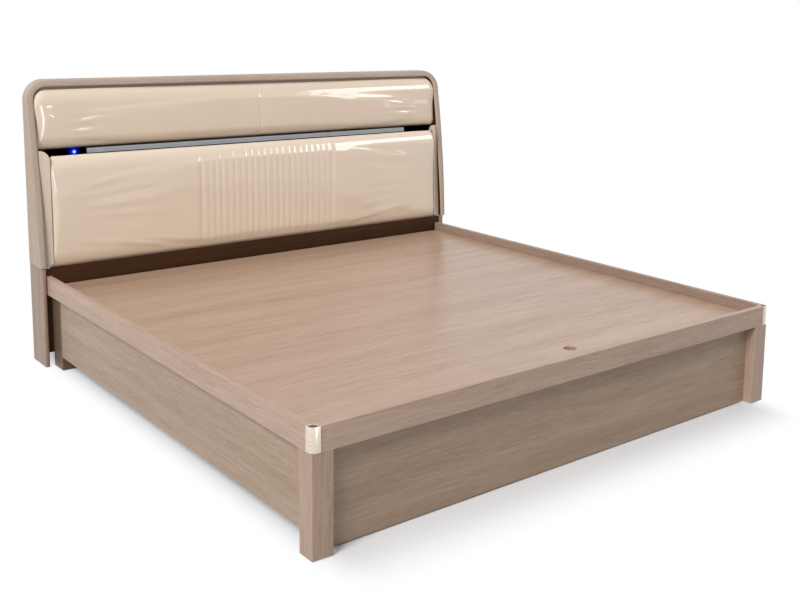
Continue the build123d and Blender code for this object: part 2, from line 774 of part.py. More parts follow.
# Upper cushion: two crowned halves that meet at a centre seam
upper_side = frame_inner - upper_gap_side
upper_front = upper_board_front - upper_cushion_thickness
save("upper_cushion", pad(upper_bottom, upper_top, upper_front, upper_board_front,
                          [-upper_side, 0, upper_side], upper_cushion_crown,
                          upper_cushion_edge_radius, upper_cushion_edge_radius,
                          upper_cushion_corner_radius, upper_half_rise))

# Black channel between the cushions: a ledge and a back wall
channel_floor_top = ledge_top + channel_thickness
wall_back = lower_board_back + channel_thickness
channel_floor = span((-unit_side, unit_side), (ledge_front + back_fit, lower_board_back),
                     (ledge_top, channel_floor_top))
channel_wall = span((-unit_side, unit_side), (lower_board_back, wall_back), (ledge_top, upper_bottom))

# Round switch in the channel's back wall
switch_x = unit_side - switch_inset
switch_z = channel_floor_top + switch_rise
bezel_front = lower_board_back - bezel_thickness
barrel_back = wall_back + bezel_barrel_length
channel_wall -= rod_y(bezel_barrel_radius + screw_clearance, -switch_x, lower_board_back - overrun,
                      wall_back + overrun, switch_z)
save("light_channel", channel_floor, channel_wall)
bezel = rod_y(bezel_radius, -switch_x, bezel_front, lower_board_back, switch_z)
bezel += rod_y(bezel_barrel_radius, -switch_x, lower_board_back, barrel_back, switch_z)
bezel -= rod_y(button_radius + button_play, -switch_x, bezel_front - overrun,
               barrel_back - bezel_floor, switch_z)
save("switch_bezel", bezel)
button_front = bezel_front - button_proud
button = rod_y(button_radius, -switch_x, button_front, barrel_back - bezel_floor - button_gap, switch_z)
button -= rod_y(lens_radius, -switch_x, button_front, button_front + lens_thickness, switch_z)
save("switch_button", button)
save("switch_lens", rod_y(lens_radius, -switch_x, button_front, button_front + lens_thickness,
                          switch_z))

# Light bar on the back wall of the channel, with an opal strip let into its face
bar_low = channel_floor_top + bar_lift
bar_front = lower_board_back - bar_depth
bar_half = unit_side - bar_end_gap
bar_middle = bar_low + bar_height / 2
bar = span((-bar_half, bar_half), (bar_front, lower_board_back), (bar_low, bar_low + bar_height))
bar -= span((-bar_half - overrun, bar_half + overrun), (bar_front - overrun, bar_front + diffuser_depth),
            (bar_middle - diffuser_height / 2, bar_middle + diffuser_height / 2))
save("light_bar", bar)
diffuser_half = diffuser_height / 2 - diffuser_play
save("light_diffuser", span((-bar_half, bar_half), (bar_front, bar_front + diffuser_depth),
                            (bar_middle - diffuser_half, bar_middle + diffuser_half)))

# The places that the record repeats
print("pivot", round(pivot_y, 4), round(pivot_z, 4))
print("lower anchor", round(lower_y, 4), round(lower_z, 4))
print("upper anchor", round(upper_y, 4), round(upper_z, 4))
print("strut link radius", round(link_radius, 4))
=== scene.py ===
# Storage bed in taupe wood-grain boards, with a lift-up deck over a divided box and a headboard
# upholstered in cream patent leather. Metres, in the frame of the solids: X across the bed,
# -Y to the foot, +Y to the headboard, +Z up, floor at Z = 0.
from math import cos, exp, pi, radians, sin, sqrt, tanh

import bpy
from mathutils import Matrix, Vector


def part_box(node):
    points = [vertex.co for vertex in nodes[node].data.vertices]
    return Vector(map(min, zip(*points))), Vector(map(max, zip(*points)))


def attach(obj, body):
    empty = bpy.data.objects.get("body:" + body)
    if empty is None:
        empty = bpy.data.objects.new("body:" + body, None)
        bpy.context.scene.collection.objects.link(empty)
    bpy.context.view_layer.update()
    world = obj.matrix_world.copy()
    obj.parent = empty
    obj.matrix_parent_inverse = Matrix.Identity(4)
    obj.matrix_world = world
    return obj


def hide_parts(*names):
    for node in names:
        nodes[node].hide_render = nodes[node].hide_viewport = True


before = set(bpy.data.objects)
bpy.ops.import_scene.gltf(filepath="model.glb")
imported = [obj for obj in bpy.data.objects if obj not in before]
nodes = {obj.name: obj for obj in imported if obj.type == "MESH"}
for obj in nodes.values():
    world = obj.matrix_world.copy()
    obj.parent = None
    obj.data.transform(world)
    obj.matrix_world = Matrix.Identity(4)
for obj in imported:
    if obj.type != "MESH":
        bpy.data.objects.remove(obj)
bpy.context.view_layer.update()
scene = bpy.context.scene
bpy.ops.object.select_all(action="DESELECT")


# The camera
# It stands at the left of the foot, above eye level of a seated person, and looks down slightly.
# Its place, turn and lens come from the straight edges of the box in the photograph.
camera_place = Vector((-2.2733, -3.17015, 1.3655))
camera_yaw, camera_pitch, camera_roll = 0.7003, -0.1527, 0.0179
focal_px, centre_px, photo_px, sensor_mm = 1069.0, (470, 180), (800, 600), 36

ahead = Vector((sin(camera_yaw) * cos(camera_pitch), cos(camera_yaw) * cos(camera_pitch),
                sin(camera_pitch)))
level_right = Vector((cos(camera_yaw), -sin(camera_yaw), 0))
level_up = level_right.cross(ahead)
right = cos(camera_roll) * level_right + sin(camera_roll) * level_up
up = cos(camera_roll) * level_up - sin(camera_roll) * level_right
lens = bpy.data.cameras.new("camera")
lens.sensor_width = sensor_mm
lens.lens = focal_px / photo_px[0] * sensor_mm
lens.shift_x = (photo_px[0] / 2 - centre_px[0]) / photo_px[0]
lens.shift_y = (centre_px[1] - photo_px[1] / 2) / photo_px[0]
camera = bpy.data.objects.new("camera", lens)
camera.matrix_world = Matrix.Translation(camera_place) @ Matrix((right, up, -ahead)).transposed().to_4x4()
scene.collection.objects.link(camera)
scene.camera = camera
scene.view_settings.view_transform = "Standard"


# The studio
# Pale floor that fades into a white surround, one broad soft lamp high on the left, a weak one over
# the right side, and softboxes that only show as reflections, mostly in the patent leather.
def colour(red, green, blue):
    """A colour given as it looks on a screen, from 0 to 255."""
    return tuple((value / 255) ** 2.2 for value in (red, green, blue)) + (1,)


def add_node(tree, kind, sockets=None, **settings):
    """Adds a node, then sets its settings and sets or links its inputs."""
    made = tree.nodes.new(kind)
    for name, value in settings.items():
        setattr(made, name, value)
    for key, value in (sockets or {}).items():
        if isinstance(value, bpy.types.NodeSocket):
            tree.links.new(value, made.inputs[key])
        else:
            made.inputs[key].default_value = value
    return made


def soft_lamp(name, place, aim, size, watts):
    """A rectangular lamp that points from its place at a spot on the bed."""
    light = bpy.data.lights.new(name, "AREA")
    light.shape = "RECTANGLE"
    light.size, light.size_y = size
    light.energy = watts
    lamp = bpy.data.objects.new(name, light)
    lamp.location = place
    lamp.rotation_euler = (Vector(aim) - Vector(place)).to_track_quat("-Z", "Y").to_euler()
    scene.collection.objects.link(lamp)
    return lamp


key = soft_lamp("key_lamp", (-9.0, -4.4, 8.8), (0, 0, 0.4), (5.0, 5.0), 1250)
key.visible_glossy = False
side_lamp = soft_lamp("side_lamp", (2.4, -0.6, 2.6), (0.7, -0.3, 0.3), (1.6, 1.6), 8)
side_lamp.visible_glossy = False
for label, place, aim, size, watts in (
        ("edge_box", (-4.2, -0.2, 0.6), (-0.95, 0.9, 0.7), (0.3, 1.8), 4),
        ("end_box", (-0.56, -2.8, 0.55), (-0.92, 0.93, 0.8), (0.40, 0.9), 11),
        ("roll_box", (3.06, -2.0, 2.1), (0.7, 0.93, 0.9), (1.3, 1.2), 34),
        ("low_box", (3.3, -2.3, 0.62), (0.8, 0.93, 0.9), (0.5, 0.12), 0.5),
        ("dash_box", (0.33, -2.85, 1.95), (-0.93, 0.93, 1.02), (0.05, 0.45), 0.7),
        ("upper_spot", (0.37, -2.8, 0.90), (-0.87, 0.93, 1.0), (0.03, 0.03), 0.12),
        ("lower_spot", (0.39, -2.8, 0.66), (-0.87, 0.93, 1.0), (0.03, 0.03), 0.12)):
    soft_lamp(label, place, aim, size, watts).visible_diffuse = False

surround = bpy.data.worlds.new("surround")
surround.use_nodes = True
scene.world = surround
sky = surround.node_tree
sky.nodes.clear()
path = add_node(sky, "ShaderNodeLightPath")
seen = add_node(sky, "ShaderNodeMath", {0: path.outputs["Is Camera Ray"],
                                        1: path.outputs["Is Glossy Ray"]}, operation="ADD")
seen_through = add_node(sky, "ShaderNodeMath", {0: seen.outputs[0],
                                                1: path.outputs["Is Transmission Ray"]},
                        operation="ADD", use_clamp=True)
room_fill, seen_white, plain_white = 0.42, 1.0, (1, 1, 1, 1)
fill = add_node(sky, "ShaderNodeBackground", {"Color": plain_white, "Strength": room_fill})
white = add_node(sky, "ShaderNodeBackground", {"Color": plain_white, "Strength": seen_white})
mixed = add_node(sky, "ShaderNodeMixShader", {0: seen_through.outputs[0], 1: fill.outputs[0],
                                              2: white.outputs[0]})
add_node(sky, "ShaderNodeOutputWorld", {"Surface": mixed.outputs[0]})

# The floor keeps the bed's shadow and fades to white over the first 0.25 m round the bed, faster at
# its sides. It is seen paler than it throws light back at the bed
floor_size, bed_half, floor_fade, side_haste = 40, (0.84, 1.00, 0), (0.0, 0.25), (1.8, 1, 1)
floor_tone, floor_tint = (0.45, 0.82), (0.985, 1.0, 1.02)
bpy.ops.mesh.primitive_plane_add(size=floor_size, location=(0, 0, 0))
floor = bpy.context.object
floor.name = "floor"
paint = bpy.data.materials.new("floor_paint")
paint.use_nodes = True
tree = paint.node_tree
tree.nodes.clear()
spot = add_node(tree, "ShaderNodeTexCoord")
side = add_node(tree, "ShaderNodeVectorMath", {0: spot.outputs["Object"]}, operation="ABSOLUTE")
beyond = add_node(tree, "ShaderNodeVectorMath", {0: side.outputs[0], 1: bed_half}, operation="SUBTRACT")
beyond = add_node(tree, "ShaderNodeVectorMath", {0: beyond.outputs[0], 1: (0, 0, 0)},
                  operation="MAXIMUM")
beyond = add_node(tree, "ShaderNodeVectorMath", {0: beyond.outputs[0], 1: side_haste},
                  operation="MULTIPLY")
away = add_node(tree, "ShaderNodeVectorMath", {0: beyond.outputs[0]}, operation="LENGTH")
fade = add_node(tree, "ShaderNodeMapRange", {"Value": away.outputs["Value"], "From Min": floor_fade[0],
                                             "From Max": floor_fade[1]}, interpolation_type="SMOOTHSTEP")
path = add_node(tree, "ShaderNodeLightPath")
seen = add_node(tree, "ShaderNodeMath", {0: path.outputs["Is Camera Ray"],
                                         1: path.outputs["Is Glossy Ray"]}, operation="ADD",
                use_clamp=True)
share = add_node(tree, "ShaderNodeMath", {0: fade.outputs[0], 1: seen.outputs[0]}, operation="MULTIPLY")
tone = add_node(tree, "ShaderNodeMapRange", {"Value": seen.outputs[0], "To Min": floor_tone[0],
                                             "To Max": floor_tone[1]})
cooler = add_node(tree, "ShaderNodeVectorMath", {0: tone.outputs[0], 1: floor_tint},
                  operation="MULTIPLY")
matt = add_node(tree, "ShaderNodeBsdfDiffuse", {"Color": cooler.outputs[0]})
glow = add_node(tree, "ShaderNodeEmission", {"Color": plain_white, "Strength": seen_white})
mixed = add_node(tree, "ShaderNodeMixShader", {0: share.outputs[0], 1: matt.outputs[0],
                                               2: glow.outputs[0]})
add_node(tree, "ShaderNodeOutputMaterial", {"Surface": mixed.outputs[0]})
floor.data.materials.append(paint)


# The boards of the box
# Chipboard faced with a taupe wood-grain laminate: aprons, panels and legs, screwed from inside.
# The grain runs along each board, up the legs, and across the bed on the deck.
def new_group(name, inputs, outputs):
    """An empty shader node group with its sockets, and its input and output nodes."""
    group = bpy.data.node_groups.new(name, "ShaderNodeTree")
    for label, kind, value in inputs:
        group.interface.new_socket(label, in_out="INPUT", socket_type=kind).default_value = value
    for label, kind in outputs:
        group.interface.new_socket(label, in_out="OUTPUT", socket_type=kind)
    return group, group.nodes.new("NodeGroupInput"), group.nodes.new("NodeGroupOutput")


def noise(tree, vector, stretch, detail=3.0, roughness=0.55):
    """Noise whose size is set on each axis, in features to the metre."""
    scaled = add_node(tree, "ShaderNodeVectorMath", {0: vector, 1: stretch}, operation="MULTIPLY")
    return add_node(tree, "ShaderNodeTexNoise", {"Vector": scaled.outputs[0], "Scale": 1.0,
                                                 "Detail": detail, "Roughness": roughness}).outputs[0]


def math(tree, operation, first, second=0.0, third=0.0, clamp=False):
    """One step of arithmetic on values or sockets."""
    return add_node(tree, "ShaderNodeMath", {0: first, 1: second, 2: third}, operation=operation,
                    use_clamp=clamp).outputs[0]


def mix_colour(tree, factor, first, second):
    """Blends two colours."""
    return add_node(tree, "ShaderNodeMix", {0: factor, 6: first, 7: second},
                    data_type="RGBA").outputs[2]


grain_group, grain_in, grain_out = new_group(
    "wood_grain",
    [("Vector", "NodeSocketVector", (0, 0, 0)), ("Light", "NodeSocketColor", (1, 1, 1, 1)),
     ("Dark", "NodeSocketColor", (0, 0, 0, 1)), ("Contrast", "NodeSocketFloat", 1.0)],
    [("Color", "NodeSocketColor"), ("Streak", "NodeSocketFloat"), ("Height", "NodeSocketFloat")])
wander_size, wander_reach = (1.3, 3.0, 3.0), 0.06
wander = noise(grain_group, grain_in.outputs["Vector"], wander_size, detail=2.0)
shift = math(grain_group, "MULTIPLY", math(grain_group, "SUBTRACT", wander, 0.5), wander_reach)
drift = add_node(grain_group, "ShaderNodeCombineXYZ", {"Y": shift, "Z": shift})
along = add_node(grain_group, "ShaderNodeVectorMath", {0: grain_in.outputs["Vector"],
                                                       1: drift.outputs[0]}, operation="ADD").outputs[0]
band_size, streak_size, pore_size = (0.9, 14.0, 14.0), (5.0, 170.0, 170.0), (26.0, 620.0, 620.0)
band_share, streak_share, pore_share, shares_middle, tone_gain = 0.45, 0.60, 0.35, 0.70, 2.2
bands = noise(grain_group, along, band_size)
streaks = noise(grain_group, along, streak_size, detail=4.0, roughness=0.65)
pores = noise(grain_group, along, pore_size, detail=1.0)
tone = math(grain_group, "MULTIPLY_ADD", streaks, streak_share,
            math(grain_group, "MULTIPLY", bands, band_share))
tone = math(grain_group, "MULTIPLY_ADD", pores, pore_share, tone)
tone = math(grain_group, "SUBTRACT", tone, shares_middle)
tone = math(grain_group, "MULTIPLY", tone, grain_in.outputs["Contrast"])
tone = math(grain_group, "MULTIPLY_ADD", tone, tone_gain, 0.5, clamp=True)
grain_group.links.new(mix_colour(grain_group, tone, grain_in.outputs["Dark"],
                                 grain_in.outputs["Light"]), grain_out.inputs["Color"])
grain_group.links.new(tone, grain_out.inputs["Streak"])
grain_group.links.new(math(grain_group, "MULTIPLY_ADD", streaks, 0.5,
                           math(grain_group, "MULTIPLY", pores, 0.5)), grain_out.inputs["Height"])
grain_relief, coat_roughness = 0.0004, 0.22


def grain_material(name, light, dark, turn=(0, 0, 0), attribute="", contrast=1.0, rough=(0.34, 0.5),
                   bump=0.12, coat=0.0, specular=0.5):
    """A laminate or a wood whose grain runs along X before it is turned."""
    made = bpy.data.materials.new(name)
    made.use_nodes = True
    tree = made.node_tree
    shader = tree.nodes["Principled BSDF"]
    if attribute:
        place = add_node(tree, "ShaderNodeAttribute", attribute_name=attribute).outputs["Vector"]
    else:
        place = add_node(tree, "ShaderNodeTexCoord").outputs["Object"]
    turned = add_node(tree, "ShaderNodeMapping", {"Vector": place, "Rotation": turn},
                      vector_type="POINT")
    grain = add_node(tree, "ShaderNodeGroup", node_tree=grain_group)
    tree.links.new(turned.outputs[0], grain.inputs["Vector"])
    grain.inputs["Light"].default_value = light
    grain.inputs["Dark"].default_value = dark
    grain.inputs["Contrast"].default_value = contrast
    tree.links.new(grain.outputs["Color"], shader.inputs["Base Color"])
    satin = add_node(tree, "ShaderNodeMapRange", {"Value": grain.outputs["Streak"],
                                                  "To Min": rough[1], "To Max": rough[0]})
    tree.links.new(satin.outputs[0], shader.inputs["Roughness"])
    relief = add_node(tree, "ShaderNodeBump", {"Height": grain.outputs["Height"], "Strength": bump,
                                               "Distance": grain_relief})
    tree.links.new(relief.outputs[0], shader.inputs["Normal"])
    shader.inputs["Coat Weight"].default_value = coat
    shader.inputs["Coat Roughness"].default_value = coat_roughness
    shader.inputs["Specular IOR Level"].default_value = specular
    return made


def wear(names, material):
    """Gives CAD nodes their finished material."""
    for name in names:
        nodes[name].data.materials.clear()
        nodes[name].data.materials.append(material)


quarter = radians(90)
across, lengthways, upright = (0, 0, 0), (0, 0, quarter), (0, quarter, 0)
taupe_light, taupe_dark = colour(200, 172, 153), colour(162, 133, 115)
taupe_across = grain_material("apron_laminate_across", taupe_light, taupe_dark, across)
taupe_lengthways = grain_material("apron_laminate_lengthways", taupe_light, taupe_dark, lengthways)
# The panels wear the aprons' laminate painted a shade darker, as painted shade below the aprons
panel_light, panel_dark = colour(184, 158, 136), colour(146, 120, 99)
panel_across = grain_material("shade_painted_panel_across", panel_light, panel_dark, across)
panel_lengthways = grain_material("shade_painted_panel_lengthways", panel_light, panel_dark, lengthways)
# The legs wear the same laminate in lit and shaded copies, as painted light and shade: the near foot leg a
# little darker than the aprons, the head legs darker still, the far foot leg lighter
leg_laminate = grain_material("leg_laminate", colour(191, 163, 144), colour(153, 125, 107), upright)
shade_painted_head_leg_laminate = grain_material("shade_painted_head_leg_laminate", colour(168, 143, 125), colour(134, 110, 93),
                                   upright)
light_painted_leg_laminate = grain_material("light_painted_leg_laminate", colour(203, 176, 157), colour(165, 138, 120),
                                  upright)
# The right apron wears the laminate painted darker, as painted shade on its inner face above the deck
shaded_apron = grain_material("shade_painted_apron_laminate", colour(176, 153, 138), colour(142, 119, 105),
                              lengthways)
deck_laminate = grain_material("deck_laminate", colour(197, 167, 145), colour(159, 129, 108), across,
                               rough=(0.32, 0.46), coat=0.25)
wear(["foot_apron"], taupe_across)
wear(["foot_panel"], panel_across)
wear(["side_apron_left"], taupe_lengthways)
wear(["side_apron_right"], shaded_apron)
wear(["side_panel_left", "side_panel_right"], panel_lengthways)
wear(["foot_leg_left"], leg_laminate)
wear(["foot_leg_right"], light_painted_leg_laminate)
wear(["head_leg_left", "head_leg_right"], shade_painted_head_leg_laminate)
wear(["deck_board"], deck_laminate)


# The dark boards behind the deck
# The lower panel of the headboard and the two posts of the box are painted nearly black as painted
# shade, so the gap under the cushion reads as shadow.
shade_dark_board = grain_material("painted_shade_board", colour(74, 47, 20), colour(46, 26, 7), across,
                         rough=(0.4, 0.55), specular=0.2)
shade_dark_post = grain_material("painted_shade_post", colour(120, 98, 80), colour(84, 66, 52), upright)
wear(["head_panel"], shade_dark_board)
wear(["head_post_left", "head_post_right"], shade_dark_post)


# Battens and boards inside the box
# Sawn pine battens, and pale faced boards for the floor, the divider and the headboard's back.
# They are seen when the deck is up, from behind and from below.
pine = grain_material("pine", colour(222, 190, 146), colour(184, 142, 96), lengthways, contrast=1.2,
                      rough=(0.55, 0.7), bump=0.3)
pine_across = grain_material("pine_across", colour(222, 190, 146), colour(184, 142, 96), across,
                             contrast=1.2, rough=(0.55, 0.7), bump=0.3)
faced = grain_material("faced_board", colour(212, 196, 180), colour(196, 178, 160), lengthways,
                       contrast=0.7, rough=(0.45, 0.55))
faced_across = grain_material("faced_board_across", colour(212, 196, 180), colour(196, 178, 160),
                              across, contrast=0.7, rough=(0.45, 0.55))
wear(["side_cleats", "divider_battens", "floor_battens", "corner_blocks"], pine)
wear(["foot_cleat", "foot_packing", "lower_rail", "middle_rail", "upper_batten"], pine_across)
wear(["centre_divider", "floor_board_left", "floor_board_right"], faced)
wear(["box_end_panel", "headboard_back_panel", "lower_cushion_board", "upper_cushion_board"],
     faced_across)


# Metal and plastic fittings
# Powder-coated deck frame and brackets, zinc screws and bolts, black gas struts with bright rods,
# and black glides and feet.
speck_scale, broad_share, polish_spread, speck_relief = 900.0, 0.02, (0.8, 1.2), 0.0003
speck_group, speck_in, speck_out = new_group(
    "fine_specks", [("Vector", "NodeSocketVector", (0, 0, 0)), ("Scale", "NodeSocketFloat", speck_scale)],
    [("Fine", "NodeSocketFloat"), ("Broad", "NodeSocketFloat")])
for label, factor in (("Fine", 1.0), ("Broad", broad_share)):
    size = math(speck_group, "MULTIPLY", speck_in.outputs["Scale"], factor)
    specks = add_node(speck_group, "ShaderNodeTexNoise", {"Vector": speck_in.outputs["Vector"],
                                                          "Scale": size, "Detail": 3.0})
    speck_group.links.new(specks.outputs[0], speck_out.inputs[label])


def fitting_material(name, tint, metallic, rough, bump=0.05, shade=0.75, specular=0.5):
    """A metal or plastic with fine surface specks and a slow change of tone."""
    made = bpy.data.materials.new(name)
    made.use_nodes = True
    tree = made.node_tree
    shader = tree.nodes["Principled BSDF"]
    place = add_node(tree, "ShaderNodeTexCoord").outputs["Object"]
    specks = add_node(tree, "ShaderNodeGroup", node_tree=speck_group)
    tree.links.new(place, specks.inputs["Vector"])
    specks.inputs["Scale"].default_value = speck_scale
    worn = tuple(value * shade for value in tint[:3]) + (1,)
    tree.links.new(mix_colour(tree, specks.outputs["Broad"], worn, tint), shader.inputs["Base Color"])
    polish = add_node(tree, "ShaderNodeMapRange", {"Value": specks.outputs["Fine"],
                                                   "To Min": rough * polish_spread[0],
                                                   "To Max": rough * polish_spread[1]})
    tree.links.new(polish.outputs[0], shader.inputs["Roughness"])
    relief = add_node(tree, "ShaderNodeBump", {"Height": specks.outputs["Fine"], "Strength": bump,
                                               "Distance": speck_relief})
    tree.links.new(relief.outputs[0], shader.inputs["Normal"])
    shader.inputs["Metallic"].default_value = metallic
    shader.inputs["Specular IOR Level"].default_value = specular
    return made


wear(["deck_side_tubes", "deck_cross_tubes", "pivot_brackets", "strut_anchors"],
     fitting_material("powder_coat", colour(48, 48, 50), 0.0, 0.5, bump=0.25))
wear(["pivot_pins", "bracket_screws", "bed_bolts", "deck_screws", "deck_studs"],
     fitting_material("zinc", colour(196, 194, 186), 1.0, 0.34))
wear(["strut_tube_left", "strut_tube_right"],
     fitting_material("strut_paint", colour(30, 30, 32), 0.0, 0.22))
wear(["strut_rod_left", "strut_rod_right"],
     fitting_material("bright_rod", colour(214, 214, 216), 1.0, 0.1, bump=0.01))
wear(["centre_feet", "leg_glides"],
     fitting_material("glide_plastic", colour(34, 34, 34), 0.0, 0.6, bump=0.2))


# Corner caps
# Cast angles plated in pale champagne metal, pressed over the butted ends of the aprons. Each has a
# round outer corner, a soft lip below and a dished top in darker metal inside a bright rim.
champagne = fitting_material("champagne_plate", colour(232, 216, 196), 0.55, 0.27, bump=0.02, shade=0.95)
lid_metal = fitting_material("cap_lid_metal", colour(104, 96, 88), 0.9, 0.35, bump=0.05, shade=0.7)
cap_round, cap_rim, dish_depth, lip_round, rim_round = 0.018, 0.0022, 0.003, 0.003, 0.0008
round_steps, rim_steps, lip_steps, level_slack, facing_up = 10, 2, 4, 0.1, 0.9
cap_crease = radians(40)


def pick(made, low, high):
    """Selects the corners of a piece that lie between two heights, and opens it for editing."""
    bpy.ops.object.mode_set(mode="EDIT")
    bpy.ops.mesh.select_mode(type="VERT")
    bpy.ops.mesh.select_all(action="DESELECT")
    bpy.ops.object.mode_set(mode="OBJECT")
    for vertex in made.data.vertices:
        vertex.select = low <= vertex.co.z <= high
    bpy.ops.object.mode_set(mode="EDIT")


def open_piece(name, points, faces):
    """Makes a piece from points and faces, and leaves it as the one selected and active."""
    mesh = bpy.data.meshes.new(name)
    mesh.from_pydata(points, [], faces)
    made = bpy.data.objects.new(name, mesh)
    scene.collection.objects.link(made)
    bpy.ops.object.select_all(action="DESELECT")
    made.select_set(True)
    bpy.context.view_layer.objects.active = made
    return made


for side, hand in (("left", -1), ("right", 1)):
    cap_low, cap_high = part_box("corner_cap_" + side)
    outer_x = cap_low.x if hand < 0 else cap_high.x
    end_x = cap_high.x if hand < 0 else cap_low.x
    inner_x = (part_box("side_apron_" + side)[1] if hand < 0 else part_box("side_apron_" + side)[0]).x
    inner_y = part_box("foot_apron")[1].y
    turns = [quarter * step / round_steps for step in range(round_steps + 1)]
    outline = [(outer_x - hand * cap_round * (1 - cos(turn)), cap_low.y + cap_round * (1 - sin(turn)))
               for turn in turns]
    outline += [(end_x, cap_low.y), (end_x, inner_y), (inner_x, inner_y), (inner_x, cap_high.y),
                (outer_x, cap_high.y)]
    corners = [(x, y, cap_low.z) for x, y in outline]
    cap = open_piece("corner_cap_metal_" + side, corners, [tuple(range(len(corners)))])
    bpy.ops.object.mode_set(mode="EDIT")
    bpy.ops.mesh.select_all(action="SELECT")
    bpy.ops.mesh.extrude_region_move(TRANSFORM_OT_translate={"value": (0, 0, cap_high.z - cap_low.z)})
    bpy.ops.mesh.inset(thickness=cap_rim)
    bpy.ops.mesh.extrude_region_move(TRANSFORM_OT_translate={"value": (0, 0, -dish_depth)})
    pick(cap, cap_high.z - dish_depth / 2, cap_high.z + dish_depth / 2)
    bpy.ops.mesh.bevel(offset=rim_round, segments=rim_steps, affect="EDGES")
    pick(cap, cap_low.z - dish_depth / 2, cap_low.z + dish_depth / 2)
    bpy.ops.mesh.bevel(offset=lip_round, segments=lip_steps, affect="EDGES")
    bpy.ops.mesh.select_all(action="SELECT")
    bpy.ops.mesh.normals_make_consistent(inside=False)
    bpy.ops.object.mode_set(mode="OBJECT")
    bpy.ops.object.shade_smooth_by_angle(angle=cap_crease)
    cap.data.materials.append(champagne)
    cap.data.materials.append(lid_metal)
    for face in cap.data.polygons:
        sunk = abs(cap_high.z - dish_depth - face.center.z) < level_slack * dish_depth
        face.material_index = 1 if sunk and face.normal.z > facing_up else 0
    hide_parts("corner_cap_" + side)
    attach(cap, "bed")


# Light bar and switch
# An aluminium bar with an opal strip in its face, unlit, in a black channel, and a round switch at
# its left end whose standby light shines blue; its glow on the cap and channel is painted emission.
wear(["light_bar"], fitting_material("bar_metal", colour(184, 188, 192), 0.0, 0.35))
wear(["light_diffuser"], fitting_material("opal_strip", colour(176, 182, 188), 0.0, 0.3, bump=0.02))


def glowing_plastic(name, tint, core, rim, core_radius, rim_radius, specular=0.5):
    """Black plastic with painted glow from the switch: brightest near the switch's middle, dark away from
    it.
    """
    made = fitting_material(name, tint, 0.0, 0.3, specular=specular)
    tree = made.node_tree
    shader = tree.nodes["Principled BSDF"]
    low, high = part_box("switch_lens")
    centre = (low + high) / 2
    place = add_node(tree, "ShaderNodeTexCoord").outputs["Object"]
    offset = add_node(tree, "ShaderNodeVectorMath", {0: place, 1: centre}, operation="SUBTRACT")
    flat = add_node(tree, "ShaderNodeVectorMath", {0: offset.outputs[0], 1: (1, 0, 1)},
                    operation="MULTIPLY")
    away = add_node(tree, "ShaderNodeVectorMath", {0: flat.outputs[0]}, operation="LENGTH")
    share = add_node(tree, "ShaderNodeMapRange", {"Value": away.outputs["Value"],
                                                  "From Min": core_radius, "From Max": rim_radius},
                     interpolation_type="SMOOTHERSTEP")
    tree.links.new(mix_colour(tree, share.outputs[0], core, rim), shader.inputs["Emission Color"])
    shader.inputs["Emission Strength"].default_value = 1.0
    return made


wear(["switch_lens"], glowing_plastic("standby_light", colour(20, 60, 255), (0.55, 1.2, 1.6, 1),
                                  (0.02, 0.12, 1.6, 1), core_radius=0.001, rim_radius=0.0075))
# The cap, bezel and channel are black plastic with the switch's blue glow painted on as emission, as
# painted light
wear(["switch_button"], glowing_plastic("switch_cap_painted_glow", colour(12, 12, 14), (0.02, 0.10, 1.5, 1),
                                    (0.0, 0.02, 0.9, 1), core_radius=0.005, rim_radius=0.0085))
wear(["switch_bezel"], glowing_plastic("bezel_painted_glow", colour(6, 6, 8), (0.0, 0.02, 0.9, 1),
                                   (0.0, 0.004, 0.14, 1), core_radius=0.008, rim_radius=0.0135,
                                   specular=0.1))
wear(["light_channel"], glowing_plastic("channel_painted_glow", colour(3, 3, 3), (0.0, 0.004, 0.2, 1),
                                    (0.0, 0.0, 0.0, 1), core_radius=0.012, rim_radius=0.030,
                                    specular=0.0))


# Headboard frame
# A bent band of paler laminate over a solid core: two uprights that grow deeper downwards and a
# thicker top rail, with round corners, soft front edges and an inside painted near-black as painted
# shade. The uprights thin out slightly towards the wall, and the grain follows the band.
side_low, side_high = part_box("headboard_side_left")
band_outer, band_top = -side_low.x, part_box("headboard_top_rail")[1].z
band_base, corner_z = side_low.z, side_high.z
band_back, front_low = side_high.y, side_low.y
side_thickness, rail_thickness = side_high.x - side_low.x, 0.027
corner_radius = band_top - corner_z
mid_depth, top_depth = 0.112, 0.058
front_mid, front_top = band_back - mid_depth, band_back - top_depth
base_growth, top_growth, inner_growth, back_thinning = 0.001, 0.005, 0.002, 0.007
growth_height, pattern_start, inner_share, touching, band_crease = 0.26, 2, 0.98, 0.00001, radians(35)
edge_round, edge_steps, rise_steps, turn_steps = 0.006, 4, 28, 16


def band_front(z):
    """Where the bowed front of the band lies at a height."""
    t = 2 * (z - band_base) / (band_top - band_base) - 1
    bow = (front_low + front_top) / 2 - front_mid
    return front_low + (front_top - front_low) * (t + 1) / 2 - bow * (1 - t * t)


bpy.ops.mesh.primitive_plane_add(size=1, location=(0, 0, 0))
band = bpy.context.object
band.name = "headboard_band"
band.data.transform(Matrix.Translation((side_thickness / 2 - band_outer, (front_low + band_back) / 2,
                                        band_base))
                    @ Matrix.Diagonal((side_thickness, band_back - front_low, 1, 1)))
bpy.ops.object.mode_set(mode="EDIT")
bpy.ops.mesh.select_mode(type="VERT")
bpy.ops.mesh.select_all(action="DESELECT")
bpy.ops.object.mode_set(mode="OBJECT")
for vertex in band.data.vertices:
    vertex.select = vertex.co.y < (front_low + band_back) / 2
bpy.ops.object.mode_set(mode="EDIT")
bpy.ops.mesh.bevel(offset=edge_round, segments=edge_steps, affect="VERTICES")
bpy.ops.mesh.select_all(action="SELECT")
rise = (corner_z - band_base) / rise_steps
for step in range(rise_steps):
    bpy.ops.mesh.extrude_region_move(TRANSFORM_OT_translate={"value": (0, 0, rise)})
